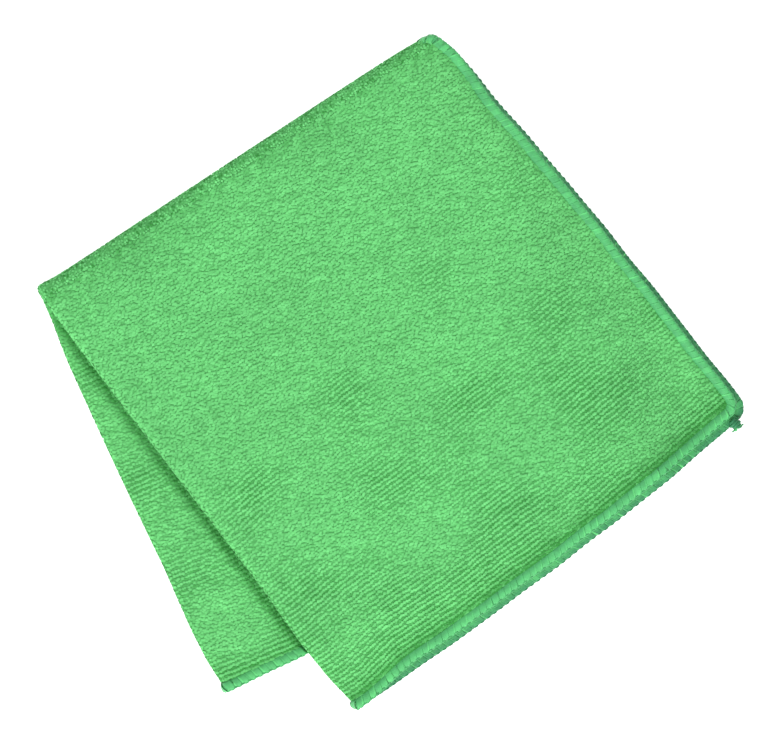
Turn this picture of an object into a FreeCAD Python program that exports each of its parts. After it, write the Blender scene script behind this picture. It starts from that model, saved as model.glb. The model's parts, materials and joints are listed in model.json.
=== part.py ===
import FreeCAD, Part
import math
import os

# A square microfibre cleaning cloth with overlocked edges, folded in half and then
# in quarter, lying flat.  Four leaves lie on each other, from the floor up:
#   bottom, lower_inner   the lower half of the folded cloth
#   upper_inner, top      the upper half, which turns up and over about the quarter fold
# X runs along the half fold, Y along the quarter fold and Z up from the floor.

# Driving dimensions, in millimetres and degrees
cloth_side = 400.0             # the square cloth, hem to hem
fold_offset = 18.5             # the quarter fold crosses the half fold this far off its middle
quarter_fold_take_up = 5.0     # the quarter fold is this much shorter than half the side
upper_corner_angle = 86.0      # quarter fold to half fold, upper pair of leaves
lower_corner_angle = 98.0      # the same on the lower pair, which is fanned out
upper_hem_stretch = 6.0        # an upper leaf's end hem is this much longer than half the side
lower_hem_take_up = 4.0        # and a lower leaf's is this much shorter
upper_hem_lean = 0.0           # how far an end hem leans back from square to its fold
lower_hem_lean = 2.0
inner_hem_lean = -1.0          # the upper inner leaf's hem leans out past the top one's
leaf_thickness = 2.4           # knitted ground with its loop pile on both faces
leaf_gap = 0.3                 # air between two leaves
hem_width = 5.0                # overlock edging
corner_radius = 4.0            # free corners, rounded by the edging
fold_clearance = 0.3           # the leaves stop this far from the fold's hinge line
tail_from_corner = 9.0         # the loose end of the edging thread
tail_length = 2.6
tail_diameter = 1.2
knot_diameter = 2.2

# Worked out
leaf_pitch = leaf_thickness + leaf_gap
stack_height = 4 * leaf_thickness + 3 * leaf_gap
hinge_height = stack_height / 2
quarter_radius = stack_height / 2
half_radius = leaf_thickness + leaf_gap / 2
outline_x = -quarter_radius
half_side = cloth_side / 2
quarter_fold_length = half_side - quarter_fold_take_up
upper_fold_length = half_side + fold_offset
lower_fold_length = half_side - fold_offset
upper_hem_length = half_side + upper_hem_stretch
lower_hem_length = half_side - lower_hem_take_up
reach = cloth_side

level_height = {
    "bottom": 0.0,
    "lower_inner": leaf_pitch,
    "upper_inner": 2 * leaf_pitch,
    "top": 3 * leaf_pitch,
}


def heading(angle):
    """Unit vector at an angle from +Y, turning towards +X."""
    turn = math.radians(angle)
    return FreeCAD.Vector(math.sin(turn), math.cos(turn), 0)


def moved(line, distance):
    """The same line moved to its left by a distance."""
    point, along = line
    left = FreeCAD.Vector(-along.y, along.x, 0)
    return point + left * distance, along


def crossing(first, second):
    """Point where two lines in the plane meet."""
    point, along = first
    other, across = second
    gap = other - point
    scale = (gap.x * across.y - gap.y * across.x) / (along.x * across.y - along.y * across.x)
    return point + along * scale


def plate(lines, floor, height):
    """Flat plate inside a ring of lines, each meeting the next."""
    pairs = zip(lines, lines[1:] + lines[:1])
    corners = [crossing(first, second) for first, second in pairs]
    ring = Part.makePolygon(corners + corners[:1])
    solid = Part.Face(ring).extrude(FreeCAD.Vector(0, 0, height))
    solid.translate(FreeCAD.Vector(0, 0, floor))
    return solid


def half_ring(outer, inner, start, along, middle_height, length):
    """Half a tube that bulges to the right of its direction, around a level line."""
    right = FreeCAD.Vector(along.y, -along.x, 0)
    up = FreeCAD.Vector(0, 0, 1)
    centre = start + up * middle_height
    edges = []
    for radius, rise in ((outer, 1), (inner, -1)):
        first = centre + up * (radius * rise)
        last = centre - up * (radius * rise)
        edges.append(Part.Arc(first, centre + right * radius, last).toShape())
        end = inner if rise == 1 else outer
        edges.append(Part.LineSegment(last, centre - up * (rise * end)).toShape())
    return Part.Face(Part.Wire(edges)).extrude(along * length)


def rounded(solid, corner, radius):
    """The plate with its upright edge at a corner rounded."""
    def is_corner(edge):
        middle = edge.CenterOfMass
        upright = edge.BoundBox.XLength + edge.BoundBox.YLength < 1e-6
        return upright and math.hypot(middle.x - corner.x, middle.y - corner.y) < 1e-3
    edges = [edge for edge in solid.Edges if is_corner(edge)]
    return solid.makeFillet(radius, edges)


def leaf_lines(corner_angle, fold_length, hem_length, lean):
    """Outlines of one leaf: quarter fold, half fold, end hem and side hem, in this order.
    Each runs so that the leaf lies to its left, and so round the leaf."""
    corner = FreeCAD.Vector(outline_x, 0, 0)
    hinge_edge = (FreeCAD.Vector(fold_clearance, 0, 0), heading(180))
    half_fold = (corner, heading(corner_angle))
    hem_start = corner + heading(corner_angle) * fold_length
    end_hem = (hem_start, heading(corner_angle - 90 - lean))
    free_corner = hem_start + end_hem[1] * hem_length
    fold_end = FreeCAD.Vector(outline_x, quarter_fold_length, 0)
    side_hem = (free_corner, (fold_end - free_corner).normalize())
    return hinge_edge, half_fold, end_hem, side_hem


def leaf_pieces(level, lines):
    """The knitted panel of one leaf and the two strips of edging on it."""
    hinge_edge, half_fold, end_hem, side_hem = lines
    floor = level_height[level]
    fold_edge = moved(half_fold, half_radius)
    end_seam = moved(end_hem, hem_width)
    side_seam = moved(side_hem, hem_width)
    panel = plate([hinge_edge, fold_edge, end_seam, side_seam], floor, leaf_thickness)
    end_strip = plate([end_seam, fold_edge, end_hem, side_seam], floor, leaf_thickness)
    side_strip = plate([hinge_edge, side_seam, end_hem, side_hem], floor, leaf_thickness)
    free_corner = crossing(end_hem, side_hem)
    side_strip = rounded(side_strip, free_corner, corner_radius)
    return {
        "leaf_" + level: panel,
        "end_hem_" + level: end_strip,
        "side_hem_" + level: side_strip,
    }


def half_fold_pieces(half, lines, middle_height):
    """The turned edge that joins the two leaves of one half, and the edging on it."""
    hinge_edge, half_fold, end_hem, side_hem = lines
    fold_edge = moved(half_fold, half_radius)
    end_seam = moved(end_hem, hem_width)
    start = fold_edge[0] - fold_edge[1] * hem_width
    bend = half_ring(half_radius, leaf_gap / 2, start, fold_edge[1], middle_height, reach)
    knit_zone = plate([hinge_edge, half_fold, end_seam, fold_edge], -1, stack_height + 2)
    edge_zone = plate([end_seam, half_fold, end_hem, fold_edge], -1, stack_height + 2)
    return {
        "half_fold_" + half: bend.common(knit_zone),
        "half_fold_hem_" + half: bend.common(edge_zone),
    }


def closed_depth(leaves):
    """How far the closed corner runs along the hinge line, to where the leaves start."""
    starts = [crossing(lines[0], moved(lines[1], half_radius)) for lines in leaves]
    return max(start.y for start in starts)


def quarter_fold_pieces(closed_corner_depth):
    """The two nested turned edges that join the halves, their edging, and the closed end
    where the two folds cross."""
    along = heading(0)
    inner_radii = (leaf_thickness + leaf_gap / 2, leaf_gap / 2)
    outer_radii = (quarter_radius, quarter_radius - leaf_thickness)
    hem_start = quarter_fold_length - hem_width
    pieces = {}
    for name, radii in (("inner", inner_radii), ("outer", outer_radii)):
        for kind, low, high in (
            ("quarter_fold_", closed_corner_depth, hem_start),
            ("quarter_fold_hem_", hem_start, quarter_fold_length),
        ):
            start = FreeCAD.Vector(0, low, 0)
            ring = half_ring(*radii, start, -along, hinge_height, low - high)
            pieces[kind + name] = ring
    cap = Part.makeCylinder(
        quarter_radius,
        closed_corner_depth,
        FreeCAD.Vector(0, 0, hinge_height),
        along,
    )
    outboard = Part.makeBox(
        quarter_radius,
        closed_corner_depth,
        stack_height,
        FreeCAD.Vector(-quarter_radius, 0, 0),
    )
    pieces["closed_corner"] = cap.common(outboard)
    return pieces


def thread_tail(lines):
    """The knotted end of the edging thread, on the upper inner leaf's end hem."""
    end_hem = lines[2]
    side_hem = lines[3]
    free_corner = crossing(end_hem, side_hem)
    outward = FreeCAD.Vector(end_hem[1].y, -end_hem[1].x, 0)
    middle = level_height["upper_inner"] + leaf_thickness / 2
    root = free_corner - end_hem[1] * tail_from_corner
    root.z = middle
    stem = Part.makeCylinder(tail_diameter / 2, tail_length, root, outward)
    knot = Part.makeSphere(knot_diameter / 2, root + outward * tail_length)
    return stem.fuse(knot).removeSplitter()


upper_leaf = leaf_lines(
    upper_corner_angle, upper_fold_length, upper_hem_length, upper_hem_lean
)
upper_inner_leaf = leaf_lines(
    upper_corner_angle, upper_fold_length, upper_hem_length, inner_hem_lean
)
lower_leaf = leaf_lines(
    lower_corner_angle, lower_fold_length, lower_hem_length, lower_hem_lean
)

parts = {}
parts.update(leaf_pieces("bottom", lower_leaf))
parts.update(leaf_pieces("lower_inner", lower_leaf))
parts.update(leaf_pieces("upper_inner", upper_inner_leaf))
parts.update(leaf_pieces("top", upper_leaf))
parts.update(half_fold_pieces("lower", lower_leaf, hinge_height - leaf_pitch))
parts.update(half_fold_pieces("upper", upper_leaf, hinge_height + leaf_pitch))
parts.update(quarter_fold_pieces(closed_depth([upper_leaf, lower_leaf])))
parts["thread_tail"] = thread_tail(upper_inner_leaf)

# The origin is under the middle of the whole stack
box = Part.makeCompound(list(parts.values())).BoundBox
to_origin = FreeCAD.Vector(-box.Center.x, -box.Center.y, 0)
os.makedirs("parts", exist_ok=True)
for name, shape in parts.items():
    shape.translate(to_origin)
    shape.exportStep(os.path.join("parts", name + ".step"))
    print(name, shape.isValid(), len(shape.Solids), round(shape.Volume, 1))
print("hinge line: x", round(to_origin.x, 3), "z", round(hinge_height, 3))
print("closed corner: y", round(to_origin.y, 3))
print("size:", round(box.XLength, 2), round(box.YLength, 2), round(box.ZLength, 2))
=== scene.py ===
"""A square microfibre cleaning cloth with overlocked edges, folded in quarter and lying flat.

The knitted sheet, its loop pile and its edging threads are surfaces worked out with numpy round
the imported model.  A leaf is one of the four layers of the folded cloth; a half is the pair of
leaves on one side of the quarter fold.
"""

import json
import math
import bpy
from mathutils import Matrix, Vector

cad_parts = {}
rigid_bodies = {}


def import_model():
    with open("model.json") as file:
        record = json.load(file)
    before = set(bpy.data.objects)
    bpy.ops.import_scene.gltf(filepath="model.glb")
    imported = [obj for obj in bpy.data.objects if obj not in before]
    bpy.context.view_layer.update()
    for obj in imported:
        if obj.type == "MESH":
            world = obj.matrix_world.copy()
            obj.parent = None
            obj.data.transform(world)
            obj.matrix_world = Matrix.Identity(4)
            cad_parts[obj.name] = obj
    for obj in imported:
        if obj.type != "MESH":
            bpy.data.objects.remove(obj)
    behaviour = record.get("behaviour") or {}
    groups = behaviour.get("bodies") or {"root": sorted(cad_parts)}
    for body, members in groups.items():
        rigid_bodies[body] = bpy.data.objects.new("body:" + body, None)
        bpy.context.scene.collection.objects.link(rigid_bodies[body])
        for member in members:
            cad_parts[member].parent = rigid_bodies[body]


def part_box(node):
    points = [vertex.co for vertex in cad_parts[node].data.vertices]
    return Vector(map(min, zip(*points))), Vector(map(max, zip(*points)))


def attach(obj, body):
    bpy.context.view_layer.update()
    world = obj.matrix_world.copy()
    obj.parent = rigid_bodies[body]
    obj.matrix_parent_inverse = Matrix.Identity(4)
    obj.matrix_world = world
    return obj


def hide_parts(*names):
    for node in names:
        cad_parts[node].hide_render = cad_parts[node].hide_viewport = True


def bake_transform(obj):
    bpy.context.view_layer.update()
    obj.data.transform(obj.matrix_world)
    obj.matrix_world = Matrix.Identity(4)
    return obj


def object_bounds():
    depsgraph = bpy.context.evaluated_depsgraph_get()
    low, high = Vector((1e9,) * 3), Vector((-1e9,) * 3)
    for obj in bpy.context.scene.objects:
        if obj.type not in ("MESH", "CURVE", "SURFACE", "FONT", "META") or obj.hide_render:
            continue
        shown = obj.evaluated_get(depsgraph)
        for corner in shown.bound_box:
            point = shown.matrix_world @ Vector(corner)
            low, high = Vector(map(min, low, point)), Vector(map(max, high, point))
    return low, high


bl_info = {
    "name": "Folded cleaning cloth",
    "version": (1, 0, 0),
    "blender": (4, 5, 0),
    "location": "View3D > Sidebar > Cloth",
    "description": "Knitted microfibre cloth with loop pile and overlocked edges, folded in quarter",
    "category": "Object",
}

import bpy
import numpy as np
from bpy.props import FloatProperty, FloatVectorProperty, PointerProperty
from bpy.types import Operator, Panel, PropertyGroup
from mathutils import Matrix, Vector

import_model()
CAD_BOX = [list(corner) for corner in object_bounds()]

MM = 0.001

# Places read from the frame
CLOSED_LOW, CLOSED_HIGH = (np.array(corner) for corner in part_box("closed_corner"))
TOP_LOW, TOP_HIGH = (np.array(corner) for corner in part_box("leaf_top"))
INNER_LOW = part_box("leaf_upper_inner")[0]
FOLD_END_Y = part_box("quarter_fold_hem_outer")[1][1]
HINGE_X = CLOSED_HIGH[0]
HINGE_Z = CLOSED_HIGH[2] / 2
CORNER = CLOSED_LOW[:2]
LEAF = TOP_HIGH[2] - TOP_LOW[2]
PITCH = TOP_LOW[2] - INNER_LOW[2]
LEVEL = {
    "bottom": LEAF / 2,
    "lower_inner": LEAF / 2 + PITCH,
    "upper_inner": LEAF / 2 + 2 * PITCH,
    "top": LEAF / 2 + 3 * PITCH,
}

# The folded outline, as on the CAD leaves
SIDE = 400 * MM
FOLD_OFFSET = 18.5 * MM

# Each half: the angle of its fold from +Y, the lengths of its fold and its end hem, the lean of
# that hem, and how far its soft edges leave the straight lines between its corners.  A bow is
# the bulge at an edge's middle, a set moves the edge outwards, a flare is where the fold opens
# towards its hem, and a lead is how far the second leaf's hem stands out past the first's.
HALVES = {
    "upper": {
        "angle": 86.0,
        "fold": SIDE / 2 + FOLD_OFFSET,
        "hem": SIDE / 2 + 6 * MM,
        "lean": 0.0,
        "leaves": ("top", "upper_inner"),
        "body": "upper_half",
        "fold_bow": 0.4 * MM,
        "fold_flare": 1.3 * MM,
        "end_bow": 3.0 * MM,
        "end_set": 0.0,
        "side_bow": 3.4 * MM,
        "side_set": -1.8 * MM,
        "end_lead": 3.3 * MM,
        "side_lead": 2.0 * MM,
    },
    "lower": {
        "angle": 98.0,
        "fold": SIDE / 2 - FOLD_OFFSET,
        "hem": SIDE / 2 - 4 * MM,
        "lean": 2.0,
        "leaves": ("bottom", "lower_inner"),
        "body": "lower_half",
        "fold_bow": 1.6 * MM,
        "fold_flare": 1.4 * MM,
        "end_bow": 2.0 * MM,
        "end_set": 2.2 * MM,
        "side_bow": 1.0 * MM,
        "side_set": 0.0,
        "end_lead": 0.0,
        "side_lead": 0.5 * MM,
    },
}

GROUND = 1.3 * MM            # thickness of the knitted ground under the pile
GRID = 2.0 * MM              # spacing of the ground's mesh
SLOPE_STEP = 0.5 * MM        # step over which a leaf's slope is measured
TURN_STEPS = 10              # steps of the ground round a half fold
HINGE_STEPS = 16             # steps of the ground round the quarter fold
DROOP = 30 * MM              # the upper half comes down to the surface over this distance
SETTLE = 18 * MM             # the leaves lie free this far from the quarter fold
WAVE = 0.25 * MM             # unevenness of a leaf that lies flat
WAVE_LENGTH = 90 * MM        # width of its waves
UPPER_WAVE_LENGTH = 55 * MM  # and of the further waves that the upper half has
HEM_WAVE_LENGTH = 26 * MM    # width of the small waves along the hems
END_WAVE = 0.35 * MM         # their size along an end hem
SIDE_WAVE = 0.45 * MM        # and along a side hem
SHOULDER = 1.1 * MM          # the side hem stands out just past the quarter fold
TUCK = 0.5 * MM              # and is drawn in beyond that
LOFT = 0.4 * MM              # the half folds stand this much higher than the leaves
FLAP_RISE = 1.5 * MM         # the lower half rises where nothing lies on it
CURL = math.radians(22)      # the upper hem of each half curls up at its edge
LIT = 0.45                   # how far a loop's side turns to the light; its fibres scatter it
ROUNDING = 4.5 * MM          # the side hem is drawn in where it turns round the quarter fold
DRAWN_IN = 0.22              # and this share of the fold's depth is lost there
HEM_WIDTH = 5.0 * MM         # overlock edging
HEM_HEIGHT = 2.5 * MM
CORNER_RADIUS = 6.5 * MM     # free corners, as the edging rounds them
GROUND_INSET = 2.2 * MM      # the cut edge of the ground lies inside the edging
PILE_INSET = 4.2 * MM        # the pile ends at the needle line
PITCH_SIDE = 2.8 * MM        # one stitch, along a side hem
PITCH_END = 3.2 * MM         # one stitch, along an end hem
HEM_STEPS = 140              # points of a hem's line along one side
FOLD_RING = 11               # points of its line round a half fold
HINGE_RING = 25              # points of its line round the quarter fold
TAIL_ALONG = 9.0 * MM        # the thread tail, from the free corner along the end hem
TAIL_INSET = 0.9 * MM        # where it touches the sheet, inside the hem's edge
TAIL_OUT = 1.0 * MM          # how far out from there its knot lies
TAIL_LIFT = 2.2 * MM         # and how far up
TAIL_ENDS = 12               # its frayed ends
PILE_KINDS = ("long", "short")  # loops of the rows, and loops between them
LOOP_FOOT = 0.25 * MM        # a loop of the pile starts this deep in the ground
LOOP_BELLY = 0.75            # and is widest at this share of its height

# The stage
FLOOR_REACH = 4.0            # half the floor's side, in metres
LIGHT_REACH = 3.0            # the lights' distance, in metres
LENS = 100                   # the camera's focal length, in millimetres
SENSOR = 36                  # and its sensor's width
VIEW_SHIFT = np.array([-2.2, 6.3, 0]) * MM  # the camera's place beside the cloth's middle


# ---------------------------------------------------------------- the folded shape

def smooth(value):
    """Smoothstep of a value held between 0 and 1: 3 v^2 - 2 v^3."""
    held = np.clip(value, 0, 1)
    return held * held * (3 - 2 * held)


def unit(vectors):
    """The vectors at length 1."""
    return vectors / np.maximum(np.linalg.norm(vectors, axis=-1, keepdims=True), 1e-12)


def heading(angle):
    """Unit vector in plan, at an angle in degrees from +Y towards +X."""
    turn = math.radians(angle)
    return np.array([math.sin(turn), math.cos(turn)])


def left_of(along):
    """The unit vector a quarter turn to the left."""
    return np.array([-along[1], along[0]])


def ripple(point, scale, seed):
    """Soft unevenness between -1 and 1: a few sines in directions and phases that differ."""
    rng = np.random.default_rng(seed)
    total = np.zeros(point.shape[:-1])
    for _ in range(5):
        turn = rng.uniform(0, math.tau)
        wave = scale * rng.uniform(0.6, 1.5)
        drift = point @ np.array([math.cos(turn), math.sin(turn)])
        total += np.sin(drift * math.tau / wave + rng.uniform(0, math.tau))
    return total / 5


def both_ways(point, scale, seed):
    """Two ripples, one for each direction in plan."""
    return np.stack([ripple(point, scale, seed), ripple(point, scale, seed + 1)], -1)


def meet(point, along, other, other_along):
    """Where two lines in plan cross, each given by a point and a direction."""
    share = np.linalg.solve(np.stack([along, -other_along], 1), other - point)
    return point + along * share[0]


class Half:
    """Plan of one half and its two leaves.  Its first leaf is the outer one of the stack.
    Straight lines bound it: the hinge line, the half fold, the end hem and the side hem."""

    def __init__(self, name):
        facts = HALVES[name]
        self.name = name
        self.facts = facts
        self.body = facts["body"]
        self.leaves = facts["leaves"]
        self.face_up = 1 if name == "upper" else -1
        self.along = heading(facts["angle"])
        self.inward = left_of(self.along)
        self.line_depth = LEAF / 2 + PITCH / 2
        self.hem_along = heading(facts["angle"] - 90 - facts["lean"])
        self.hem_start = CORNER + self.along * facts["fold"]
        self.free = self.hem_start + self.hem_along * facts["hem"]
        self.fold_end = np.array([CORNER[0], FOLD_END_Y])
        self.side_along = unit(self.free - self.fold_end)
        self.side_out = left_of(self.side_along)
        self.end_out = -left_of(self.hem_along)
        base = CORNER + self.inward * self.line_depth
        self.fold_first = base + self.along * ((HINGE_X - base[0]) / self.along[0])

    def corners(self, inset):
        """Plan corners of a leaf that stops an inset short of its hems: where the hinge line
        meets the fold, the fold meets the end hem, the hinge line meets the side hem, and the
        two hems meet."""
        end = self.hem_start - self.end_out * inset
        side = self.fold_end - self.side_out * inset
        hinge = np.array([HINGE_X, 0.0])
        upright = np.array([0.0, 1.0])
        return (
            self.fold_first,
            meet(self.fold_first, self.along, end, self.hem_along),
            meet(hinge, upright, side, self.side_along),
            meet(side, self.side_along, end, self.hem_along),
        )

    def depths(self, point):
        """Distances of a point inside the hinge line, fold line, end hem and side hem."""
        return (
            point[..., 0] - HINGE_X,
            (point - self.fold_first) @ self.inward,
            (self.hem_start - point) @ self.end_out,
            (self.fold_end - point) @ self.side_out,
        )

    def inside(self, point):
        """How far inside the half's outline a point lies."""
        hinge, fold, end, side = self.depths(point)
        return np.minimum(np.minimum(fold, end), side)

    def bowed(self, point, second=0.0):
        """The point moved as the soft edges bow: each edge bulges most near its middle, the
        fold flares towards its hem, and the second leaf's hems lead the first one's.  Share
        runs from 0 at the hinge line to 1 at the end hem, and rise from 0 at the fold to 1
        at the side hem.  Second is 0 on the first leaf and 1 on the second."""
        hinge, fold, end, side = (np.maximum(depth, 0) for depth in self.depths(point))
        share = hinge / np.maximum(hinge + end, MM)
        rise = fold / np.maximum(fold + side, MM)
        facts = self.facts
        # the fold, which flares over the last third and closes again at the hem
        flare = smooth((share - 0.65) / 0.2) * (1 - 0.9 * smooth((share - 0.9) / 0.1))
        fold_move = facts["fold_bow"] * 4 * share * (1 - share) + facts["fold_flare"] * flare
        # the end hem
        end_move = facts["end_bow"] * 4 * rise * (1 - rise) + facts["end_set"]
        end_move = end_move - facts["end_lead"] * (1 - second) * smooth(rise / 0.15)
        end_move = end_move + END_WAVE * ripple(point, HEM_WAVE_LENGTH, 41)
        # the side hem, fullest towards the hinge line
        beyond = smooth(share / 0.2)
        near = smooth(share / 0.05) * (1 - smooth((share - 0.07) / 0.1))
        side_move = facts["side_bow"] * np.sin(math.pi * share**0.75) + facts["side_set"] * share
        side_move = side_move + SHOULDER * near - TUCK * beyond * (1 - share)
        side_move = side_move + SIDE_WAVE * ripple(point, HEM_WAVE_LENGTH, 42)
        side_move = side_move - facts["side_lead"] * (1 - second) * beyond
        return (
            point
            - (fold_move * (1 - rise))[..., None] * self.inward
            + (end_move * share)[..., None] * self.end_out
            + (side_move * rise)[..., None] * self.side_out
        )


UPPER = Half("upper")
LOWER = Half("lower")


def beside_upper(point):
    """How far a point in plan lies outside the upper half's fold."""
    return -UPPER.depths(point)[1] - UPPER.line_depth


def height(leaf, point):
    """Height of a leaf's middle surface over a point in plan: the leaf's level at the hinge
    line and an uneven level away from it.  The upper leaves come down smoothly past the
    lower half's outline, and the lower half's flap rises beside the upper half."""
    away = smooth((point[..., 0] - HINGE_X) / SETTLE)
    level = LEVEL[leaf] + WAVE * (1 + ripple(point, WAVE_LENGTH, 3)) * away
    if leaf in UPPER.leaves:
        held = smooth((LOWER.inside(point) + DROOP) / (DROOP + 4 * MM))
        level = level - (1 - held) * away * 2 * PITCH
        level = level + WAVE * (1 + ripple(point, UPPER_WAVE_LENGTH, 8)) * away
    if leaf == "top":
        level = level + LOFT * away * smooth((beside_upper(point) + 14 * MM) / (12 * MM))
    if leaf == "lower_inner":
        level = level + FLAP_RISE * away * smooth((beside_upper(point) + 0.5 * MM) / (6 * MM))
    return level


def on_sheet(half, plan, turn, offset=0.0):
    """Point of a half's middle surface and its outward normal.  Turn is 0 on the first leaf,
    pi on the second and in between on the half ring of the fold, whose radius is half of the
    leaves' distance.  Offset moves the point along the normal."""
    first, second = half.leaves
    spot = half.bowed(plan, (1 - np.cos(turn)) / 2)
    high = height(first, spot)
    low = height(second, spot)
    middle = (high + low) / 2
    radius = (high - low) / 2
    bulge = np.sin(turn)
    ring = np.abs(radius) * bulge
    point = np.concatenate(
        [spot - ring[..., None] * half.inward, (middle + np.cos(turn) * radius)[..., None]], -1
    )
    level = np.where(np.cos(turn) > 0, high, low)
    slopes = []
    for shift in np.eye(2) * SLOPE_STEP:
        moved = spot + shift
        there = np.where(np.cos(turn) > 0, height(first, moved), height(second, moved))
        slopes.append((there - level) / SLOPE_STEP)
    flat = (1 - np.abs(bulge))[..., None]
    tilt = -np.stack(slopes, -1) * flat * (np.cos(turn) * half.face_up)[..., None]
    side = -bulge[..., None] * half.inward + tilt
    normal = unit(np.concatenate([side, (np.cos(turn) * half.face_up)[..., None]], -1))
    return point + normal * offset, normal


def leaf_rows(count):
    """Rows of a half's grid: over the first leaf to the fold, round it, and back over the
    second leaf.  Gives each row's rise, 1 at the side hem and 0 at the fold, and its turn."""
    across = np.linspace(1, 0, count)
    rise = np.concatenate([across, np.zeros(TURN_STEPS - 1), across[::-1]])
    ring = np.linspace(0, math.pi, TURN_STEPS + 1)[1:-1]
    return rise, np.concatenate([np.zeros(count), ring, np.full(count, math.pi)])


def half_surface(half, columns, rows):
    """Grid of the middle surface of one half and its normals.  Columns run along the fold."""
    fold_first, fold_last, side_first, free = half.corners(GROUND_INSET)
    share = np.linspace(0, 1, columns)[None, :, None]
    fold = fold_first + (fold_last - fold_first) * share
    side = side_first + (free - side_first) * share
    rise, turn = leaf_rows(rows)
    plan = fold + (side - fold) * rise[:, None, None]
    return on_sheet(half, plan, np.broadcast_to(turn[:, None], plan.shape[:2]))


def round_hinge(upper, lower, turn):
    """Grid round the quarter fold: a line of the upper half's points at the hinge line carried
    round the hinge by half a turn, until it is the lower half's line.  Its distance from the
    hinge goes smoothly from the one to the other.  Run goes from 0 at the closed corner to 1
    at the side hem.  The fold is fullest at the corner, bulges over its length, and is drawn
    in at the hem, so that the outline is round there."""
    share = smooth(turn / math.pi)[None, :]
    rise = (upper[:, 2] - HINGE_Z)[:, None]
    drop = (HINGE_Z - lower[:, 2])[:, None]
    radius = rise + (drop - rise) * share
    line = upper[:, 1, None] + (lower[:, 1] - upper[:, 1])[:, None] * share
    run = np.clip((line - CORNER[1]) / (FOLD_END_Y - CORNER[1]), 0, 1)
    fullness = 1.08 - 0.10 * run + 0.10 * np.sqrt(4 * run * (1 - run))
    fullness = fullness + 0.4 * (1 - run) ** 30 - DRAWN_IN * run**18
    line = line - ROUNDING * np.sin(turn) ** 2 * run**10
    return np.stack(
        [HINGE_X - np.sin(turn) * radius * fullness, line, HINGE_Z + np.cos(turn) * radius], -1
    )


def turn_surface(rise, sheet_turn, turn):
    """Points and outward normals of the sheet round the quarter fold.  Rise runs from 0 at the
    half fold to 1 at the side hem, sheet turn is 0 on the first leaves and pi on the second,
    and turn runs round the hinge."""
    lines = []
    for half in (UPPER, LOWER):
        fold_first, _, side_first, _ = half.corners(GROUND_INSET)
        plan = fold_first + (side_first - fold_first) * rise[:, None]
        lines.append(on_sheet(half, plan, sheet_turn))
    (upper, upward), (lower, _) = lines
    points = round_hinge(upper, lower, turn)
    normals = grid_normals(points)
    return points, normals * np.sign(np.sum(normals[:, 0] * upward))


# ---------------------------------------------------------------- meshes

def make_object(name, points, faces, material, tone=None, normals=None):
    """A smooth mesh object at the origin, from an array of points and one or more arrays of
    faces.  Tone is a number for each point that its material reads.  Normals, one for each
    point, are what the light sees instead of the faces' own."""
    parts = faces if isinstance(faces, list) else [faces]
    counts = np.concatenate([np.full(len(part), part.shape[1]) for part in parts])
    loops = np.concatenate([part.ravel() for part in parts])
    starts = np.concatenate([[0], np.cumsum(counts)[:-1]])
    mesh = bpy.data.meshes.new(name)
    mesh.vertices.add(len(points))
    mesh.vertices.foreach_set("co", np.asarray(points, np.float32).ravel())
    mesh.loops.add(len(loops))
    mesh.loops.foreach_set("vertex_index", loops.astype(np.int32))
    mesh.polygons.add(len(counts))
    mesh.polygons.foreach_set("loop_start", starts.astype(np.int32))
    mesh.polygons.foreach_set("use_smooth", np.ones(len(counts), bool))
    layer = mesh.attributes.new("tone", "FLOAT", "POINT")
    values = np.full(len(points), 0.5) if tone is None else tone
    layer.data.foreach_set("value", np.asarray(values, np.float32))
    mesh.update(calc_edges=True)
    if normals is not None:
        mesh.normals_split_custom_set_from_vertices(normals.tolist())
    mesh.materials.append(material)
    obj = bpy.data.objects.new(name, mesh)
    bpy.context.scene.collection.objects.link(obj)
    return obj


def grid_faces(rows, columns, first=0):
    """Quads of a grid of points stored row by row."""
    index = np.arange(rows * columns).reshape(rows, columns) + first
    quads = np.stack([index[:-1, :-1], index[:-1, 1:], index[1:, 1:], index[1:, :-1]], -1)
    return quads.reshape(-1, 4)


def grid_normals(points):
    """Unit normals of a grid: the cross product of its row and column directions."""
    return unit(np.cross(np.gradient(points, axis=0), np.gradient(points, axis=1)))


def shell(points, normals, thickness):
    """Closed sheet round a grid: the grid moved half the thickness each way along its normals,
    joined by a rim.  Quads of the grid turn along rows and then columns, so a sheet whose
    normals are against that is turned over."""
    rows, columns = points.shape[:2]
    count = rows * columns
    face = points + normals * thickness / 2
    back = points - normals * thickness / 2
    index = np.arange(count).reshape(rows, columns)
    ring = np.concatenate([index[0, :-1], index[:-1, -1], index[-1, :0:-1], index[:0:-1, 0]])
    after = np.roll(ring, -1)
    rim = np.stack([ring, after, after + count, ring + count], -1)
    turned = np.sum(grid_normals(points) * normals) > 0
    outer = grid_faces(rows, columns)
    inner = grid_faces(rows, columns, count)
    quads = np.concatenate([outer[:, ::-1], inner, rim])
    if not turned:
        quads = quads[:, ::-1]
    return np.concatenate([face.reshape(-1, 3), back.reshape(-1, 3)]), quads


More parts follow.
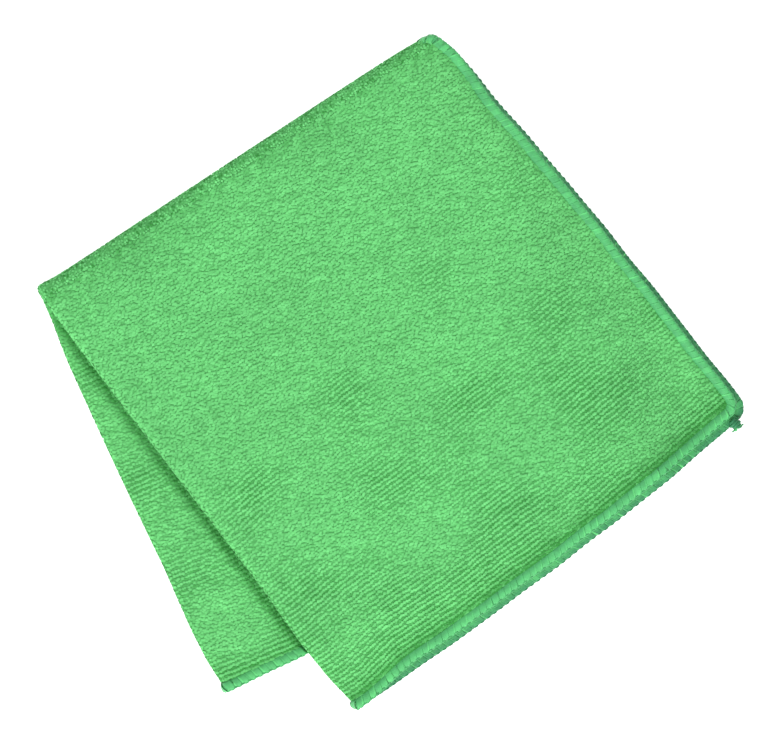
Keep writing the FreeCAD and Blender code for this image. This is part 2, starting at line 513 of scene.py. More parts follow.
def rings(centre, wide, tall, sides, tone):
    """Closed threads.  Along each one, an oval ring of points lies round every point of its
    centre line, as wide and tall as those two vectors, and its end rings are closed flat.
    Centre, wide and tall have the shape (threads, points, 3), and sides is the number of
    points in a ring."""
    angle = np.arange(sides) * math.tau / sides
    spots = (
        centre[:, :, None]
        + np.cos(angle)[:, None] * wide[:, :, None]
        + np.sin(angle)[:, None] * tall[:, :, None]
    )
    threads, steps = centre.shape[:2]
    index = np.arange(threads * steps * sides).reshape(threads, steps, sides)
    after = np.roll(index, -1, axis=2)
    quads = np.stack([index[:, :-1], after[:, :-1], after[:, 1:], index[:, 1:]], -1)
    handed = np.sum(np.cross(wide, tall)[:, :-1] * np.diff(centre, axis=1), axis=(1, 2)) > 0
    caps = np.concatenate([index[:, 0, ::-1], index[:, -1]])
    quads = np.where(handed[:, None, None, None], quads, quads[..., ::-1])
    caps = np.where(np.tile(handed, 2)[:, None], caps, caps[:, ::-1])
    tones = np.broadcast_to(tone, (threads, steps))
    return spots.reshape(-1, 3), [quads.reshape(-1, 4), caps], np.repeat(tones.ravel(), sides)


def joined(parts):
    """Several (points, faces, tone) or (points, faces, tone, normals) as one: the faces count
    on over the points before them."""
    points = np.concatenate([part[0] for part in parts])
    starts = np.cumsum([0] + [len(part[0]) for part in parts[:-1]])
    faces = [face + start for part, start in zip(parts, starts) for face in part[1]]
    rest = zip(*(part[2:] for part in parts))
    return points, faces, *(np.concatenate(values) for values in rest)


# ---------------------------------------------------------------- settings and materials

class ClothSettings(PropertyGroup):
    """Sizes and colours of the knitted cloth and its edging."""

    row_spacing: FloatProperty(
        name="Row spacing",
        description="Distance between two rows of loops",
        default=1.93 * MM,
        unit="LENGTH",
        precision=5,
    )
    loop_spacing: FloatProperty(
        name="Loop spacing",
        description="Distance between two loops of a row",
        default=1.19 * MM,
        unit="LENGTH",
        precision=5,
    )
    pile_height: FloatProperty(
        name="Pile height",
        description="How far the loops stand off the ground",
        default=0.45 * MM,
        unit="LENGTH",
        precision=5,
    )
    pile_colour: FloatVectorProperty(
        name="Pile colour",
        description="Colour of the loops' tips",
        default=(0.190, 0.705, 0.232),
        subtype="COLOR",
    )
    # painted shade: the dark end of the pile's ramp, taken at the loops' feet and between the rows
    root_shade_colour: FloatVectorProperty(
        name="Root colour",
        description="Colour between the loops",
        default=(0.042, 0.265, 0.050),
        subtype="COLOR",
    )
    thread_colour: FloatVectorProperty(
        name="Thread colour",
        description="Colour of the edging's bright strands",
        default=(0.115, 0.600, 0.180),
        subtype="COLOR",
    )
    # the chain's own colour, and also the dark end of the threads' ramp that their painted shade
    # takes
    chain_and_shade_colour: FloatVectorProperty(
        name="Chain colour",
        description="Colour of the looped chain on the edge",
        default=(0.020, 0.180, 0.075),
        subtype="COLOR",
    )


class StageSettings(PropertyGroup):
    """Framing and light."""

    view_width: FloatProperty(
        name="View width",
        description="Width of the picture at the top of the cloth",
        default=319.4 * MM,
        unit="LENGTH",
    )
    view_turn: FloatProperty(
        name="View turn",
        description="Turn of the picture about the vertical, from +X to the picture's right",
        default=math.radians(56.6),
        subtype="ANGLE",
    )
    key_power: FloatProperty(
        name="Key light",
        description="Power of the soft light beside the cloth",
        default=77.0,
        unit="POWER",
    )
    sky: FloatProperty(
        name="Sky",
        description="Strength of the even light from all round",
        default=0.82,
    )


def settings_of(context):
    """The cloth's settings."""
    return context.scene.cloth_settings


def new_material(name, roughness, sheen, specular):
    """A material with its shader, and the nodes to add more."""
    material = bpy.data.materials.new(name)
    material.use_nodes = True
    nodes = material.node_tree.nodes
    shader = nodes["Principled BSDF"]
    shader.inputs["Roughness"].default_value = roughness
    shader.inputs["Sheen Weight"].default_value = sheen
    shader.inputs["Sheen Roughness"].default_value = 0.5
    shader.inputs["Specular IOR Level"].default_value = specular
    return material, nodes, material.node_tree.links, shader


def add_noise(nodes, links, scale, detail, roughness):
    """A noise that follows the piece."""
    place = nodes.new("ShaderNodeTexCoord")
    noise = nodes.new("ShaderNodeTexNoise")
    noise.inputs["Scale"].default_value = scale
    noise.inputs["Detail"].default_value = detail
    noise.inputs["Roughness"].default_value = roughness
    links.new(place.outputs["Object"], noise.inputs["Vector"])
    return noise.outputs["Fac"]


def multiplied(nodes, links, first, second):
    """One colour times another."""
    mix = nodes.new("ShaderNodeMix")
    mix.data_type = "RGBA"
    mix.blend_type = "MULTIPLY"
    mix.inputs["Factor"].default_value = 1.0
    colours = [socket for socket in mix.inputs if socket.type == "RGBA"]
    for socket, source in zip(colours, (first, second)):
        links.new(source, socket)
    return next(socket for socket in mix.outputs if socket.type == "RGBA")


def add_ramp(nodes, links, source, stops):
    """A colour ramp over a number; each stop is a position and a colour."""
    ramp = nodes.new("ShaderNodeValToRGB")
    marks = ramp.color_ramp.elements
    while len(marks) < len(stops):
        marks.new(0.5)
    for mark, (position, colour) in zip(marks, stops):
        mark.position = position
        mark.color = colour
    links.new(source, ramp.inputs["Fac"])
    return ramp.outputs["Color"]


def tone_colours(nodes, links, low, high):
    """The mesh's own tone as a colour, from low at 0 to high at 1."""
    tone = nodes.new("ShaderNodeAttribute")
    tone.attribute_name = "tone"
    return add_ramp(nodes, links, tone.outputs["Fac"], [(0.0, (*low, 1)), (1.0, (*high, 1))])


def mottled(nodes, links, base, noise, dark, light):
    """The base colour darkened by a noise, whose scale, detail and roughness are given.  Dark
    and light are each a level of the noise and the share of the colour left there."""
    stops = [(level, grey(left)) for level, left in (dark, light)]
    shade = add_ramp(nodes, links, add_noise(nodes, links, *noise), stops)
    return multiplied(nodes, links, base, shade)


def add_bump(nodes, links, shader, source, depth):
    """Bump of a given depth in metres."""
    bump = nodes.new("ShaderNodeBump")
    bump.inputs["Strength"].default_value = 1.0
    bump.inputs["Distance"].default_value = depth
    links.new(source, bump.inputs["Height"])
    links.new(bump.outputs["Normal"], shader.inputs["Normal"])


def grey(value):
    """A grey, as a colour with full alpha."""
    return (value, value, value, 1)


def pile_material(cloth):
    """Split microfibre: soft sheen, darkened by painted shade towards the root shade colour at the
    loops' feet and between them, bright at their tips, uneven at the scale of a hand and of a
    loop, with fibres as fine bump."""
    material, nodes, links, shader = new_material("pile_fibre", 0.9, 0.05, 0.05)
    base = tone_colours(nodes, links, cloth.root_shade_colour, cloth.pile_colour)
    base = mottled(nodes, links, base, (28.0, 3.0, 0.6), (0.35, 0.92), (0.65, 1.0))
    base = mottled(nodes, links, base, (260.0, 2.0, 0.5), (0.3, 0.84), (0.7, 1.0))
    links.new(base, shader.inputs["Base Color"])
    add_bump(nodes, links, shader, add_noise(nodes, links, 1800.0, 1.0, 0.5), 0.04 * MM)
    return material


def thread_material(cloth):
    """Texturised edging yarn: satin, bright on the strands and blue-green in the chain."""
    material, nodes, links, shader = new_material("edging_yarn", 0.50, 0.05, 0.3)
    base = tone_colours(nodes, links, cloth.chain_and_shade_colour, cloth.thread_colour)
    base = mottled(nodes, links, base, (420.0, 2.0, 0.6), (0.3, 0.8), (0.7, 1.0))
    links.new(base, shader.inputs["Base Color"])
    add_bump(nodes, links, shader, add_noise(nodes, links, 2200.0, 2.0, 0.6), 0.10 * MM)
    return material


def floor_material():
    """Plain white paper, lit from below as a light table is, so that its shadows stay faint."""
    material, nodes, links, shader = new_material("studio_floor", 0.9, 0.0, 0.0)
    shader.inputs["Base Color"].default_value = grey(0.9)
    shader.inputs["Emission Color"].default_value = grey(1.0)
    shader.inputs["Emission Strength"].default_value = 0.55
    return material


def material_of(context, name, make):
    """The material of that name, made once."""
    return bpy.data.materials.get(name) or make(settings_of(context))


# ---------------------------------------------------------------- ground

class CLOTH_OT_ground(Operator):
    """The knitted ground: one sheet for each half and one round the quarter fold"""

    bl_idname = "cloth.ground"
    bl_label = "Knitted ground"

    def execute(self, context):
        material = material_of(context, "pile_fibre", pile_material)
        rows = round(SIDE / 2 / GRID)
        for half in (UPPER, LOWER):
            columns = round(half.facts["fold"] / GRID)
            points, normals = half_surface(half, columns, rows)
            spots, faces = shell(points, normals, GROUND)
            make_object(f"cloth_{half.body}", spots, faces, material)
        rise, sheet_turn = leaf_rows(rows)
        turn = np.linspace(0, math.pi, HINGE_STEPS + 1)
        spots, faces = shell(*turn_surface(rise, sheet_turn, turn), GROUND)
        make_object("cloth_quarter_turn", spots, faces, material)
        return {"FINISHED"}


# ---------------------------------------------------------------- pile

def lumps(root, normal, forward, size, height, comb, shade, rng):
    """Loops of the pile, each a closed six-point lump: a foot in the ground, four points round
    its belly and a tip that leans.  Size is its half width along and across forward, comb the
    lean of its neighbourhood, and shade its tone.  Gives points, faces, tones, darkest at the
    foot, and the normals that the light sees, which are mostly the sheet's."""
    count = len(root)
    across = unit(np.cross(normal, forward))
    turn = rng.uniform(-0.3, 0.3, count)[:, None]
    first = np.cos(turn) * forward + np.sin(turn) * across
    second = np.cos(turn) * across - np.sin(turn) * forward
    grow = rng.uniform(0.9, 1.15, (count, 1))
    tall = np.reshape(height, (-1, 1)) * rng.uniform(0.85, 1.12, (count, 1))
    lean = comb + rng.normal(0, 0.10 * MM, (count, 2))
    tip = root + normal * tall + forward * lean[:, :1] + across * lean[:, 1:]
    belly = root + (tip - root) * LOOP_BELLY
    points = np.stack(
        [
            root - normal * LOOP_FOOT,
            belly + first * size[0] * grow,
            belly + second * size[1] * grow,
            belly - first * size[0] * grow,
            belly - second * size[1] * grow,
            tip,
        ],
        1,
    )
    upper = np.array([[1, 2, 5], [2, 3, 5], [3, 4, 5], [4, 1, 5]])
    lower = np.array([[2, 1, 0], [3, 2, 0], [4, 3, 0], [1, 4, 0]])
    faces = np.concatenate([upper, lower])[None] + np.arange(count)[:, None, None] * 6
    shade = np.reshape(shade, (-1, 1)) + rng.normal(0, 0.03, (count, 1))
    # painted shade: each loop is darkest at its foot and darker round its belly, as the gaps between
    # loops lie in shade
    tone = np.clip(shade + np.array([-0.40, -0.10, 0.00, -0.10, 0.00, 0.0]), 0, 1)
    lean = [-2 * normal, LIT * first, LIT * second, -LIT * first, -LIT * second, 0 * normal]
    lit = unit(normal[:, None] + np.stack(lean, 1)).reshape(-1, 3)
    return points.reshape(-1, 3), [faces.reshape(-1, 3)], tone.ravel(), lit


def disorder(half, plan):
    """How untidy the rows are over a point in plan, from 0 to 1: in patches, and least
    near the end hem."""
    return smooth(0.15 + half.depths(plan)[2] / (150 * MM) + 0.9 * ripple(plan, 60 * MM, 31))


def pressed_and_shaded(half, plan, second):
    """How far the pile over a point in plan is pushed down, from 0 to 1: along the hems, and
    on the lower half where the upper half's fold lies on it.  The same share darkens the pile
    there as painted shade in the grooves by the hems and in the crease."""
    _, _, end, side = half.depths(plan)
    # along the end hem, the pushing down and its painted shade are much stronger on the upper half
    strong = 1.2 if half is UPPER else 0.35
    flat = strong * np.exp(-np.maximum(end - PILE_INSET, 0) / (2.6 * MM))
    flat = flat + 0.3 * np.exp(-np.maximum(side - PILE_INSET, 0) / (1.5 * MM))
    if half is LOWER:
        crease = np.abs(beside_upper(plan) - 1.0 * MM)
        flat = flat + 0.8 * second * np.exp(-crease / (1.8 * MM))
    return np.clip(flat, 0, 1)


def pile_sites(half, cloth, between, rng):
    """Where the loops of one half stand: rows square to the half fold, each running down the
    first leaf, round the fold and back up the second, and wandering a little away from it.
    Between is 0 for the rows and 1 for the loops half way between them.  Gives plan points
    and turns."""
    row = cloth.row_spacing
    loop = cloth.loop_spacing
    reach = SIDE / 2 + 12 * MM
    bend = math.pi * (PITCH / 2 + GROUND / 2 + cloth.pile_height / 2)
    along = np.arange(-20 * MM + between * row / 2, reach + row, row)
    down = np.arange(between * loop / 2, 2 * reach + bend, loop)
    along, down = np.meshgrid(along, down, indexing="ij")
    down = down + rng.normal(0, 0.16 * loop, down.shape)
    turn = np.clip((down - reach) / bend, 0, 1) * math.pi
    rise = np.where(down < reach, reach - down, np.maximum(down - reach - bend, 0))
    plan = half.fold_first + along[..., None] * half.along + rise[..., None] * half.inward
    stray = rng.normal(0, 0.06 + 0.16 * disorder(half, plan), along.shape) * row
    plan = plan + stray[..., None] * half.along
    free = smooth(rise / (10 * MM))[..., None]
    for scale, move, seed in ((60 * MM, 0.8 * MM, 21), (9 * MM, 0.25 * MM, 23)):
        plan = plan + both_ways(plan, scale, seed) * move * free
    hinge, fold, end, side = half.depths(plan)
    stop = PILE_INSET + rng.normal(0, 0.3 * MM, plan.shape[:2])
    kept = (hinge > 0.2 * MM) & (end > stop) & (side > stop)
    return plan[kept], turn[kept]


def half_pile(half, cloth, between, seed):
    """The loops of one half, as (points, faces, tone, normals) for its first leaf, its second
    leaf and the fold between them.  Small patches lean and shine differently, more so by the
    quarter fold, where painted shade darkens them too.  The loops between the rows are lower,
    and darker by painted shade, most where the rows are tidy; loops pushed down by the hems
    and by the upper half's fold are lower too, and darker by painted shade in those grooves."""
    rng = np.random.default_rng(seed)
    plan, turn = pile_sites(half, cloth, between, rng)
    root, normal = on_sheet(half, plan, turn, GROUND / 2)
    forward = np.concatenate([half.along, [0.0]])
    forward = unit(forward - normal * (normal @ forward)[:, None])
    tidy = 1 - disorder(half, plan)
    flat = pressed_and_shaded(half, plan, turn / math.pi)
    comb = both_ways(plan, 14 * MM, 32) * 0.15 * MM
    shade = 0.72 + 0.07 * ripple(plan, 12 * MM, 34) + 0.14 * ripple(plan, 4.5 * MM, 35)
    # painted shade: towards the quarter fold the pile is darker and more mottled, as the turned edge
    # lies in shade
    near = np.exp(-np.maximum(plan[:, 0] - HINGE_X, 0) / (6 * MM))
    shade = shade + near * (0.35 * ripple(plan, 6 * MM, 36) - 0.22)
    # painted shade: darker between the rows, and darker where the pile is pushed down, in the
    # grooves by the hems and in the crease under the upper half's fold
    shade = shade - between * (0.05 + 0.45 * tidy) - 0.70 * flat
    on_fold = np.sin(turn)
    tall = cloth.pile_height * (1 - between * (0.25 + 0.40 * tidy) * (1 - on_fold))
    tall = tall * (1 - 0.35 * flat) * (1 - 0.4 * (turn == 0) * (half is LOWER))
    size = ((0.36 - 0.04 * between) * cloth.row_spacing, 0.78 * cloth.loop_spacing)
    parts = []
    for kept in (turn == 0, turn == math.pi, (turn > 0) & (turn < math.pi)):
        sites = (root[kept], normal[kept], forward[kept])
        parts.append(lumps(*sites, size, tall[kept], comb[kept], shade[kept], rng))
    return parts


def turn_pile(cloth, seed):
    """The loops on the sheet round the quarter fold, rows side by side round the hinge: on
    the outer turn, on the closed corner and on the inner turn.  The fold spreads them, and
    painted shade darkens the band, with many loops dark for the shaded roots between them."""
    rng = np.random.default_rng(seed)
    count = round(SIDE / 2 / cloth.loop_spacing)
    parts = []
    rise = np.linspace(1 - (PILE_INSET - GROUND_INSET) / (SIDE / 2), 0, count)
    corner_loops = 5
    ring = (np.arange(corner_loops) + 0.5) / corner_loops * math.pi
    bands = [
        # rise, turn of the half fold, rows round the hinge
        (rise, np.zeros(count), 17),
        (np.zeros(corner_loops), ring, 13),
        (rise, np.full(count, math.pi), 4),
    ]
    for band_rise, sheet_turn, rows in bands:
        turn = np.linspace(0, math.pi, rows)
        points, normals = turn_surface(band_rise, sheet_turn, turn)
        points = points.reshape(-1, 3)
        normals = normals.reshape(-1, 3)
        stray = rng.normal(0, 0.25 * MM, points.shape)
        points = points + stray - normals * np.sum(stray * normals, -1, keepdims=True)
        forward = unit(np.cross(np.array([0.0, 1.0, 0.0]), normals))
        size = (0.30 * cloth.row_spacing, 0.44 * cloth.loop_spacing)
        root = points + normals * GROUND / 2
        # painted shade: the band is darker than the flat pile, and many loops are dark specks, for
        # the shaded roots that the spread loops show
        shade = 0.90 + 0.10 * ripple(points[:, 1:], 14 * MM, 36)
        shade = shade + 0.10 * ripple(points[:, 1:], 5 * MM, 37)
        shade = shade - rng.exponential(0.38, len(points))
        tall = 0.8 * cloth.pile_height
        parts.append(lumps(root, normals, forward, size, tall, 0, shade, rng))
    return joined(parts)


class CLOTH_OT_pile(Operator):
    """The loop pile on the cloth's outer face: long loops and short ones between them"""

    bl_idname = "cloth.pile"
    bl_label = "Loop pile"

    def execute(self, context):
        cloth = settings_of(context)
        material = material_of(context, "pile_fibre", pile_material)
        for seed, half in enumerate((UPPER, LOWER)):
            for between, kind in enumerate(PILE_KINDS):
                parts = half_pile(half, cloth, between, 100 + 10 * between + seed)
                places = (*half.leaves, f"half_fold_{half.name}")
                for place, (points, faces, *looks) in zip(places, parts):
                    make_object(f"pile_{kind}_{place}", points, faces, material, *looks)
        points, faces, *looks = turn_pile(cloth, 300)
        make_object("pile_quarter_turn", points, faces, material, *looks)
        return {"FINISHED"}


# ---------------------------------------------------------------- edging

class HemLine:
    """The middle line of an edging and the two directions square to it: side, outwards in the
    sheet, and up, off the sheet's outer face.  Beat counts the stitches along it.  Chain is
    the tone of the looped chain on the first and on the second leaf, where a dark chain is
    partly its own colour and partly painted shadow under the leaf above, and how much painted
    shade darkens the threads on the hem's inner side.  Curl turns the hem about its line."""

    def __init__(self, centre, up, handed, pitch, chain=(0.45, 0.45, 0.2), curl=0.0):
        self.centre = centre
        self.chain = chain
        along = unit(np.gradient(centre, axis=0))
        side = unit(np.cross(up, along)) * handed
        up = unit(np.cross(along, side)) * handed
        turn = np.reshape(curl, (-1, 1))
        self.side = side * np.cos(turn) + up * np.sin(turn)
        self.up = up * np.cos(turn) - side * np.sin(turn)
        self.along = along
        steps = np.linalg.norm(np.diff(centre, axis=0), axis=1)
        self.length = np.concatenate([[0], np.cumsum(steps)])
        self.beat = np.concatenate([[0], np.cumsum(steps / ((pitch[1:] + pitch[:-1]) / 2))])

    def at(self, place):
        """Centre, side, up and along at distances along the line."""
        def between(values):
            return np.stack(
                [np.interp(place, self.length, values[:, axis]) for axis in range(3)], -1
            )
        return (
            between(self.centre),
            unit(between(self.side)),
            unit(between(self.up)),
            unit(between(self.along)),
        )

    def stitches(self):
        """Distances along the line where the stitches start, and the length of each."""
        count = int(self.beat[-1])
        starts = np.interp(np.arange(count + 1), self.beat, self.length)
        return starts[:-1], np.diff(starts)


def hem_line(half):
    """The edging's line round one half: along the side hem of the first leaf, round the free
    corner by an arc, along its end hem, round the half fold, and back over the second leaf.
    The upper leaf's hem stands up at its edge."""
    inset = HEM_WIDTH / 2
    _, last, first, _ = half.corners(inset)
    hub = half.corners(CORNER_RADIUS)[3]
    swing = np.linspace(0, 1, 9)[:, None] * math.pi / 2
    arc = unit(half.side_out * np.cos(swing) + half.end_out * np.sin(swing))
    arc = hub + arc * (CORNER_RADIUS - inset)
    side = np.linspace(first, arc[0], HEM_STEPS)
    end = np.linspace(arc[-1], last, HEM_STEPS)
    leaf = np.concatenate([side[:-1], arc, end[1:]])
    pitch = np.where(np.arange(len(leaf)) < HEM_STEPS + len(arc) // 2, PITCH_SIDE, PITCH_END)
    ring = np.linspace(0, math.pi, FOLD_RING + 2)[1:-1]
    plan = np.concatenate([leaf, np.repeat(last[None], FOLD_RING, 0), leaf[::-1]])
    turn = np.concatenate([np.zeros(len(leaf)), ring, np.full(len(leaf), math.pi)])
    pitch = np.concatenate([pitch, np.full(FOLD_RING, PITCH_END), pitch[::-1]])
    point, normal = on_sheet(half, plan, turn)
    # it stands off the half fold and, where it curls up, off the leaf
    point = point + normal * (0.7 * MM * np.sin(turn))[:, None]
    curl = CURL * (1 + np.cos(turn) * half.face_up) / 2 * (1 - np.sin(turn))
    curl = curl * smooth((point[:, 0] - HINGE_X) / (12 * MM))
    point = point + normal * (0.4 * MM * curl / CURL)[:, None]
    # painted shade: the upper half's second-leaf chain is darkened as painted shadow under the top
    # leaf's hem, and the threads on the hem's inner side get painted shade, more on the upper half
    chain = (0.42, 0.04, 0.24) if half is UPPER else (0.42, 0.42, 0.12)
    return HemLine(point, normal, half.face_up, pitch, chain, curl)


def turn_line(upper, lower, end):
    """The edging's line round the quarter fold, from the upper half's end to the lower's."""
    turn = np.linspace(0, math.pi, HINGE_RING)
    start = upper.centre[end][None]
    stop = lower.centre[end][None]
    centre = round_hinge(start, stop, turn)[0]
    outward = 1.0 if end == 0 else -1.0
    up = np.stack([-np.sin(turn), np.zeros(HINGE_RING), np.cos(turn)], -1) * outward
    return HemLine(centre, up, outward, np.full(HINGE_RING, PITCH_SIDE))


def over_hem(line, place, angle, wide, tall):
    """Points on the oval round the hem line: angle 0 is the outer edge and 90 degrees the top.
    Gives each point, the direction off the oval and the direction along the hem."""
    centre, side, up, along = line.at(place)
    cosine = np.cos(angle)[..., None]
    sine = np.sin(angle)[..., None]
    spot = centre + side * cosine * wide + up * sine * tall
    return spot, unit(side * cosine / wide + up * sine / tall), along


def hem_threads(line, rng):
    """The threads of an overlocked edge on its rolled bead: on each stitch a broad looper
    thread wrapped over the edge, a narrow bright one across it, the chain where the loopers
    meet at the edge, and the needle thread's dash on each face."""
    wide = HEM_WIDTH / 2 - 0.25 * MM
    tall = HEM_HEIGHT / 2
    # the bead under the threads
    parts = [rings(line.centre[None], line.side[None] * wide, line.up[None] * tall, 16, 0.40)]
    starts, lengths = line.stitches()
    count = len(starts)
    wrap = np.radians(np.linspace(152, -152, 12))
    swell = np.sin(np.linspace(0.12, math.pi - 0.12, 12))
    # painted shade: inner darkens the threads on the hem's inner slope; dark, the chain's tone, is
    # partly painted shadow on the upper half's second leaf under the top leaf's hem; outer darkens
    # the outer side of such a hem too
    inner = smooth((np.abs(wrap) - 0.8) / 1.3)
    dark = np.where(starts < line.length[-1] / 2, *line.chain[:2])[:, None]
    outer = 1.4 * (0.42 - dark) * smooth((np.cos(wrap) + 0.2) / 0.7)
    rough = rng.exponential(0.8, (count, 2))
    kinds = [
        # place in the stitch, slant, half width, taper, half thickness, lift, tone, unevenness
        (0.50, 1.3 * MM, 0.66, 0.02, 0.06 * MM, 0.00 * MM, 0.66, 0.10),
        (0.02, 1.9 * MM, 0.16, 0.50, 0.08 * MM, 0.02 * MM, 0.66, 0.26),
    ]
    for kind, facts in enumerate(kinds):
        place, slant, half_width, narrowing, half_thick, lift, tone, uneven = facts
        taper = 1 - narrowing * (1 - swell)
        shift = slant * (np.cos(wrap) + 1) / 2
        at = (starts + lengths * place)[:, None] + shift + rng.normal(0, 0.10 * MM, (count, 1))
        spot, off, along = over_hem(line, at, np.broadcast_to(wrap, at.shape), wide, tall)
        spot = spot + off * lift
        across = along * (lengths[:, None, None] * half_width) * taper[:, None]
        shade = tone + uneven * rough[:, kind : kind + 1] - line.chain[2] * inner - outer
        parts.append(rings(spot, across, off * half_thick, 6, np.clip(shade, 0, 1)))
    swell = np.sqrt(1 - np.linspace(-0.94, 0.94, 6) ** 2)
    dashes = [
        # angle, start and length in the stitch, half width, half thickness, tone
        (20, 0.10, 0.62, 0.45 * MM, 0.44 * MM, dark),
        (-20, 0.60, 0.62, 0.45 * MM, 0.44 * MM, dark),
        (156, 0.30, 0.60, 0.30 * MM, 0.20 * MM, 0.20),
        (-156, 0.30, 0.60, 0.30 * MM, 0.20 * MM, 0.20),
    ]
    for angle, begin, share, half_width, half_thick, tone in dashes:
        at = starts[:, None] + lengths[:, None] * (begin + share * np.linspace(0, 1, 6))
        turn = np.full(at.shape, math.radians(angle))
        spot, off, along = over_hem(line, at, turn, wide, tall)
        flat = unit(np.cross(along, off))
        size = swell[:, None]
        shade = np.clip(tone + rng.normal(0, 0.05, (count, 1)), 0, 1)
        parts.append(rings(spot, flat * half_width * size, off * half_thick * size, 6, shade))
    return joined(parts)


class CLOTH_OT_edging(Operator):
    """The overlock edging: one seam round each half, and its two turns at the quarter fold"""

    bl_idname = "cloth.edging"
    bl_label = "Overlock edging"

    def execute(self, context):
        material = material_of(context, "edging_yarn", thread_material)
        rng = np.random.default_rng(400)
        upper = hem_line(UPPER)
        lower = hem_line(LOWER)
        lines = {
            "edging_upper_half": upper,
            "edging_lower_half": lower,
            "edging_turn_outer": turn_line(upper, lower, 0),
            "edging_turn_inner": turn_line(upper, lower, -1),
        }
        for name, line in lines.items():
            points, faces, tone = hem_threads(line, rng)
            make_object(name, points, faces, material, tone)
        return {"FINISHED"}


def tail_knot():
    """The knot's thread in millimetres: a helix about the outward axis, wide at its middle."""
    share = np.linspace(0, 1, 60)
    turn = share * 3.6 * math.tau
    wide = (1.9 + 0.3 * np.sin(turn * 0.7)) * np.sin(0.3 + 2.5 * share)
    return np.stack([np.cos(turn) * wide, 3.6 * share - 1.8, np.sin(turn) * wide * 0.8], -1)


def frayed_end(rng):
    """One frayed end in millimetres: outwards by a sine, spread sideways and arched."""
    share = np.linspace(0, 1, 16)
    spread = rng.uniform(-1.0, 1.0)
    reach = rng.uniform(1.3, 2.4)
    bend = rng.uniform(-0.8, 0.8) * share**2
    across = spread * 2.4 * share + bend
    lift = rng.uniform(-0.5, 0.9) * np.sin(share * math.pi)
    return np.stack([across, reach * np.sin(share * 1.9), lift], -1)


class CLOTH_OT_thread_tail(Operator):
    """The knotted end of the edging thread, on the hem by the free corner"""

    bl_idname = "cloth.thread_tail"
    bl_label = "Thread tail"

    def execute(self, context):
        material = material_of(context, "edging_yarn", thread_material)
        rng = np.random.default_rng(12)
        plan = UPPER.free - UPPER.hem_along * TAIL_ALONG - UPPER.end_out * TAIL_INSET
        hub, _ = on_sheet(UPPER, plan[None], np.array([math.pi]))
        out = np.concatenate([UPPER.end_out, [0.0]])
        along = np.concatenate([UPPER.hem_along, [0.0]])
        up = np.array([0.0, 0.0, 1.0])
        hub = hub + up * TAIL_LIFT + out * TAIL_OUT

        # each thread's line, radius in millimetres and tone
        threads = [(tail_knot(), 0.80, 0.05)]
        for _ in range(TAIL_ENDS):
            threads.append((frayed_end(rng), 0.50, rng.uniform(0.15, 0.8)))
        parts = []
        for shape, radius, tone in threads:
            centre = hub + shape @ np.stack([along, out, up]) * MM
            line = HemLine(centre, np.tile(up, (len(centre), 1)), 1.0, np.full(len(centre), MM))
            thick = np.linspace(1, 0.6, len(centre))[:, None] * radius * MM
            wide = (line.side * thick)[None]
            tall = (line.up * thick)[None]
            parts.append(rings(centre[None], wide, tall, 8, tone))
        points, faces, tone = joined(parts)
        make_object("thread_tail_knot", points, faces, material, tone)
        return {"FINISHED"}


# ---------------------------------------------------------------- stage and binding

class CLOTH_OT_stage(Operator):
    """Floor, soft light and the camera straight above the cloth"""

    bl_idname = "cloth.stage"
    bl_label = "Stage"

    def execute(self, context):
        stage = context.scene.stage_settings
        low, high = (np.array(corner) for corner in CAD_BOX)
        corners = np.array([[-1, -1, 0], [1, -1, 0], [1, 1, 0], [-1, 1, 0]]) * FLOOR_REACH
        floor = make_object("floor", corners, np.array([[0, 1, 2, 3]]), floor_material())

        right = np.array([math.cos(stage.view_turn), math.sin(stage.view_turn), 0])
        up = np.array([-right[1], right[0], 0])
        data = bpy.data.cameras.new("camera")
        data.lens = LENS
        data.sensor_width = SENSOR
        camera = bpy.data.objects.new("camera", data)
        middle = (low + high) / 2 + VIEW_SHIFT
        middle[2] = high[2] + stage.view_width * LENS / SENSOR
        camera.matrix_world = Matrix(
            [[*row, place] for row, place in zip(np.stack([right, up, [0, 0, 1]], 1), middle)]
            + [[0, 0, 0, 1]]
        )
        context.scene.collection.objects.link(camera)
        context.scene.camera = camera

        lights = [
            # name, direction in the picture, height angle, size, share of the power
            ("key_light", -up - 0.2 * right, 36, 1.2, 1.0),
            ("fill_light", up - right, 65, 2.4, 0.25),
        ]
        for name, direction, rise, size, share in lights:
            lamp = bpy.data.lights.new(name, "AREA")
            lamp.size = size
            lamp.energy = stage.key_power * share
            light = bpy.data.objects.new(name, lamp)
            away = unit(direction) * math.cos(math.radians(rise))
            place = away + np.array([0, 0, math.sin(math.radians(rise))])
            light.location = place * LIGHT_REACH
            light.rotation_euler = Vector(place).to_track_quat("Z", "Y").to_euler()
            light.visible_camera = False
            context.scene.collection.objects.link(light)

        world = bpy.data.worlds.new("studio")
        world.use_nodes = True
        background = world.node_tree.nodes["Background"]
        background.inputs["Color"].default_value = grey(1.0)
        background.inputs["Strength"].default_value = stage.sky
        context.scene.world = world
        context.scene.view_settings.view_transform = "Standard"
        return {"FINISHED"}


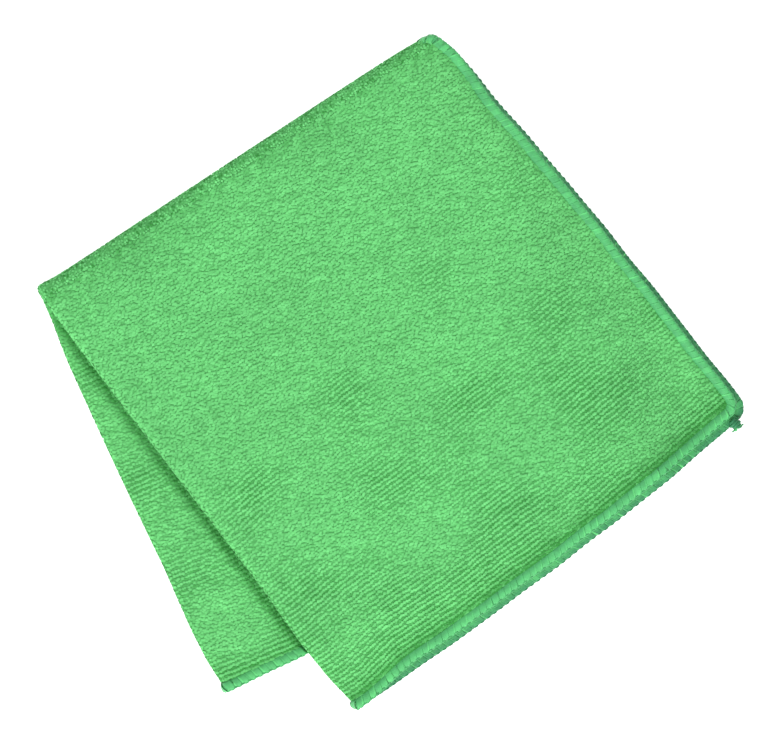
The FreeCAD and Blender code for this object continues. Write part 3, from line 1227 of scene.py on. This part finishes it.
class CLOTH_OT_bind(Operator):
    bl_idname = "cloth.bind"
    bl_label = "Bind to the frame"

    def execute(self, context):
        pieces = bpy.data.objects
        stands_for = {
            "cloth_quarter_turn": ["quarter_fold_inner", "quarter_fold_outer", "closed_corner"],
            "edging_turn_outer": ["quarter_fold_hem_outer"],
            "edging_turn_inner": ["quarter_fold_hem_inner"],
            "thread_tail_knot": ["thread_tail"],
        }
        loops = {}
        for half in (UPPER, LOWER):
            leaves = [f"leaf_{leaf}" for leaf in half.leaves]
            hems = [f"{hem}_{leaf}" for hem in ("end_hem", "side_hem") for leaf in half.leaves]
            stands_for[f"cloth_{half.body}"] = [*leaves, f"half_fold_{half.name}"]
            stands_for[f"edging_{half.body}"] = [*hems, f"half_fold_hem_{half.name}"]
            places = (*half.leaves, f"half_fold_{half.name}")
            loops[half.name] = [f"pile_{kind}_{place}" for kind in PILE_KINDS for place in places]
        for name, nodes in stands_for.items():
            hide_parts(*nodes)

        upper = [*loops["upper"], "edging_upper_half", "thread_tail_knot"]
        lower = [*loops["lower"], "edging_lower_half"]
        turning = ["pile_quarter_turn", "edging_turn_outer", "edging_turn_inner"]
        for name in ("cloth_upper_half", *upper):
            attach(pieces[name], "upper_half")
        for name in ("cloth_lower_half", *lower):
            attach(pieces[name], "lower_half")
        for name in ("cloth_quarter_turn", *turning):
            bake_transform(pieces[name])

        return {"FINISHED"}


class CLOTH_PT_panel(Panel):
    """Lists the cloth's pieces and its settings."""

    bl_label = "Folded cleaning cloth"
    bl_space_type = "VIEW_3D"
    bl_region_type = "UI"
    bl_category = "Cloth"

    def draw(self, context):
        layout = self.layout
        for operator in OPERATORS:
            layout.operator(operator.bl_idname)
        for settings in (context.scene.cloth_settings, context.scene.stage_settings):
            for name in settings.__annotations__:
                layout.prop(settings, name)


OPERATORS = (
    CLOTH_OT_stage,
    CLOTH_OT_ground,
    CLOTH_OT_pile,
    CLOTH_OT_edging,
    CLOTH_OT_thread_tail,
    CLOTH_OT_bind,
)
CLASSES = (ClothSettings, StageSettings, *OPERATORS, CLOTH_PT_panel)


def register():
    """Registers the classes and hangs the settings on the scene."""
    for cls in CLASSES:
        bpy.utils.register_class(cls)
    bpy.types.Scene.cloth_settings = PointerProperty(type=ClothSettings)
    bpy.types.Scene.stage_settings = PointerProperty(type=StageSettings)


def unregister():
    """Takes the settings and the classes away again."""
    del bpy.types.Scene.stage_settings
    del bpy.types.Scene.cloth_settings
    for cls in reversed(CLASSES):
        bpy.utils.unregister_class(cls)


def main():
    """Makes every piece in order."""
    register()
    bpy.ops.cloth.stage()
    bpy.ops.cloth.ground()
    bpy.ops.cloth.pile()
    bpy.ops.cloth.edging()
    bpy.ops.cloth.thread_tail()
    bpy.ops.cloth.bind()


if __name__ == "__main__":
    main()
